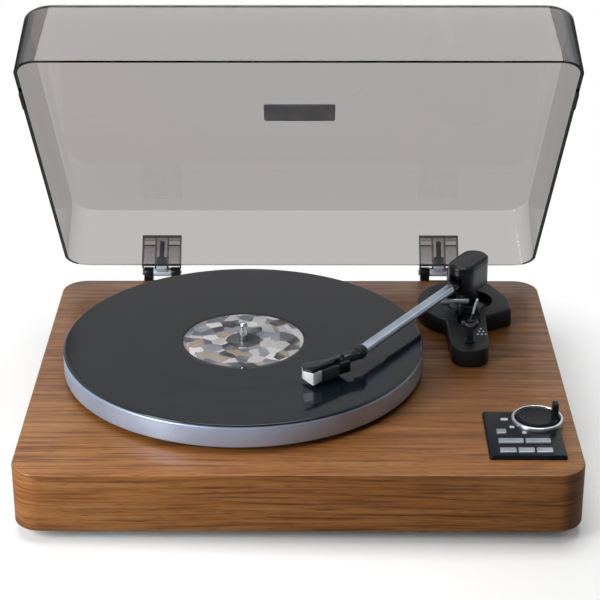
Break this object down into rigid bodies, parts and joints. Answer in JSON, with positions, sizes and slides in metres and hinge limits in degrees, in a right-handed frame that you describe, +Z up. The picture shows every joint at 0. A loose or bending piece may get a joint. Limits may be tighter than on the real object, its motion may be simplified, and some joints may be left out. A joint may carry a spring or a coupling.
{
  "type": "record player",
  "caption": "Belt-drive record player: wood case, platter with record, tonearm, control panel and clear hinged dust cover.",
  "frame": {"origin": "under the middle of the object's box, on the surface that it stands on", "axes": "+X to the right along the front, +Y to the back where the cover is hinged, +Z up"},
  "size_m": [0.44, 0.4046, 0.3748],
  "materials": {
    "walnut": "satin",
    "fibreboard": "matt",
    "rubber": "matt",
    "black_plastic": "satin",
    "gloss_black": "gloss",
    "vinyl": "gloss, fine grooves",
    "paper": "printed paper",
    "aluminium": "turned, satin",
    "arm_aluminium": "satin",
    "chrome": "polished",
    "steel": "plain",
    "silver_plastic": "silver paint",
    "white_plastic": "satin",
    "brass": "turned",
    "circuit": "coated",
    "smoked_acrylic": "clear, smoked, polished"
  },
  "bodies": {
    "case": {"plinth_case": "walnut", "bottom_cover": "fibreboard", "foot_front_left": "rubber", "foot_front_right": "rubber", "foot_back_left": "rubber", "foot_back_right": "rubber", "bearing_housing": "brass", "drive_motor": "steel", "motor_plate": "steel", "drive_belt": "rubber", "control_board": "circuit", "rear_panel": "black_plastic", "signal_jack_left": "brass", "signal_jack_right": "brass", "power_socket": "black_plastic", "arm_base": "black_plastic", "arm_post": "black_plastic", "arm_rest": "black_plastic", "control_panel": "gloss_black", "selector_ring": "silver_plastic", "hinge_bracket_left": "black_plastic", "hinge_bracket_right": "black_plastic", "hinge_pin_left": "steel", "hinge_pin_right": "steel"},
    "platter_assembly": {"platter": "aluminium", "inner_platter": "black_plastic", "slip_mat": "rubber", "spindle": "chrome", "record": "vinyl", "record_label": "paper"},
    "pulley": {"motor_pulley": "brass"},
    "arm_turret": {"arm_housing": "black_plastic", "arm_housing_cap": "black_plastic", "arm_turning_shaft": "steel", "arm_axle": "steel"},
    "tonearm": {"arm_yoke": "black_plastic", "counterweight": "steel", "arm_tube": "arm_aluminium", "headshell_collar": "black_plastic", "headshell": "black_plastic", "cartridge": "gloss_black", "stylus_holder": "white_plastic", "stylus": "aluminium", "finger_lift": "gloss_black"},
    "lift": {"lift_bar": "silver_plastic"},
    "lever": {"cue_lever": "chrome"},
    "selector": {"selector_dial": "gloss_black"},
    "square_key": {"button_square": "silver_plastic"},
    "wide_left_key": {"button_wide_left": "silver_plastic"},
    "wide_right_key": {"button_wide_right": "silver_plastic"},
    "small_left_key": {"button_small_left": "silver_plastic"},
    "small_middle_key": {"button_small_middle": "silver_plastic"},
    "small_right_key": {"button_small_right": "silver_plastic"},
    "switch_knob": {"output_switch": "black_plastic"},
    "cover": {"dust_cover": "smoked_acrylic", "lid_badge": "steel", "lid_bumper_left": "rubber", "lid_bumper_right": "rubber", "hinge_leaf_left": "steel", "hinge_leaf_right": "steel"}
  },
  "joints": [
    {"name": "platter_spin", "type": "hinge", "parent": "case", "child": "platter_assembly", "pos_m": [-0.047, -0.01657, 0.0595], "axis": [0, 0, 1], "continuous": true},
    {"name": "pulley_spin", "type": "hinge", "parent": "case", "child": "pulley", "pos_m": [-0.13044, 0.06686, 0.0595], "axis": [0, 0, 1], "continuous": true},
    {"name": "arm_swing", "type": "hinge", "parent": "case", "child": "arm_turret", "pos_m": [0.1486, 0.08173, 0.0981], "axis": [0, 0, 1], "range_deg": [-14, 30.75]},
    {"name": "arm_raise", "type": "hinge", "parent": "arm_turret", "child": "tonearm", "pos_m": [0.1486, 0.08173, 0.0981], "axis": [-0.8358, 0.549, 0], "range_deg": [0, 10]},
    {"name": "cue_lever_turn", "type": "hinge", "parent": "case", "child": "lever", "pos_m": [0.1486, 0.04373, 0.072], "axis": [1, 0, 0], "range_deg": [0, 60]},
    {"name": "lift_bar_slide", "type": "slide", "parent": "case", "child": "lift", "axis": [0, 0, 1], "range_m": [0, 0.003]},
    {"name": "selector_turn", "type": "hinge", "parent": "case", "child": "selector", "pos_m": [0.1898, -0.11977, 0.0595], "axis": [0, 0, 1], "range_deg": [0, 63]},
    {"name": "button_square_press", "type": "slide", "parent": "case", "child": "square_key", "axis": [0, 0, -1], "range_m": [0, 0.0012], "stiffness_N_per_m": 300, "springref_m": -0.0008},
    {"name": "button_wide_left_press", "type": "slide", "parent": "case", "child": "wide_left_key", "axis": [0, 0, -1], "range_m": [0, 0.0012], "stiffness_N_per_m": 300, "springref_m": -0.0008},
    {"name": "button_wide_right_press", "type": "slide", "parent": "case", "child": "wide_right_key", "axis": [0, 0, -1], "range_m": [0, 0.0012], "stiffness_N_per_m": 300, "springref_m": -0.0008},
    {"name": "button_small_left_press", "type": "slide", "parent": "case", "child": "small_left_key", "axis": [0, 0, -1], "range_m": [0, 0.0012], "stiffness_N_per_m": 300, "springref_m": -0.0008},
    {"name": "button_small_middle_press", "type": "slide", "parent": "case", "child": "small_middle_key", "axis": [0, 0, -1], "range_m": [0, 0.0012], "stiffness_N_per_m": 300, "springref_m": -0.0008},
    {"name": "button_small_right_press", "type": "slide", "parent": "case", "child": "small_right_key", "axis": [0, 0, -1], "range_m": [0, 0.0012], "stiffness_N_per_m": 300, "springref_m": -0.0008},
    {"name": "output_switch_slide", "type": "slide", "parent": "case", "child": "switch_knob", "axis": [1, 0, 0], "range_m": [0, 0.004]},
    {"name": "cover_hinge", "type": "hinge", "parent": "case", "child": "cover", "pos_m": [0, 0.17343, 0.0629], "axis": [-1, 0, 0], "range_deg": [-48.74, 0]}
  ],
  "couplings": [
    {"joint": "pulley_spin", "follows": "platter_spin", "ratio": 12.791},
    {"joint": "cue_lever_turn", "follows": "lift_bar_slide", "rad_per_m": 349.06}
  ]
}
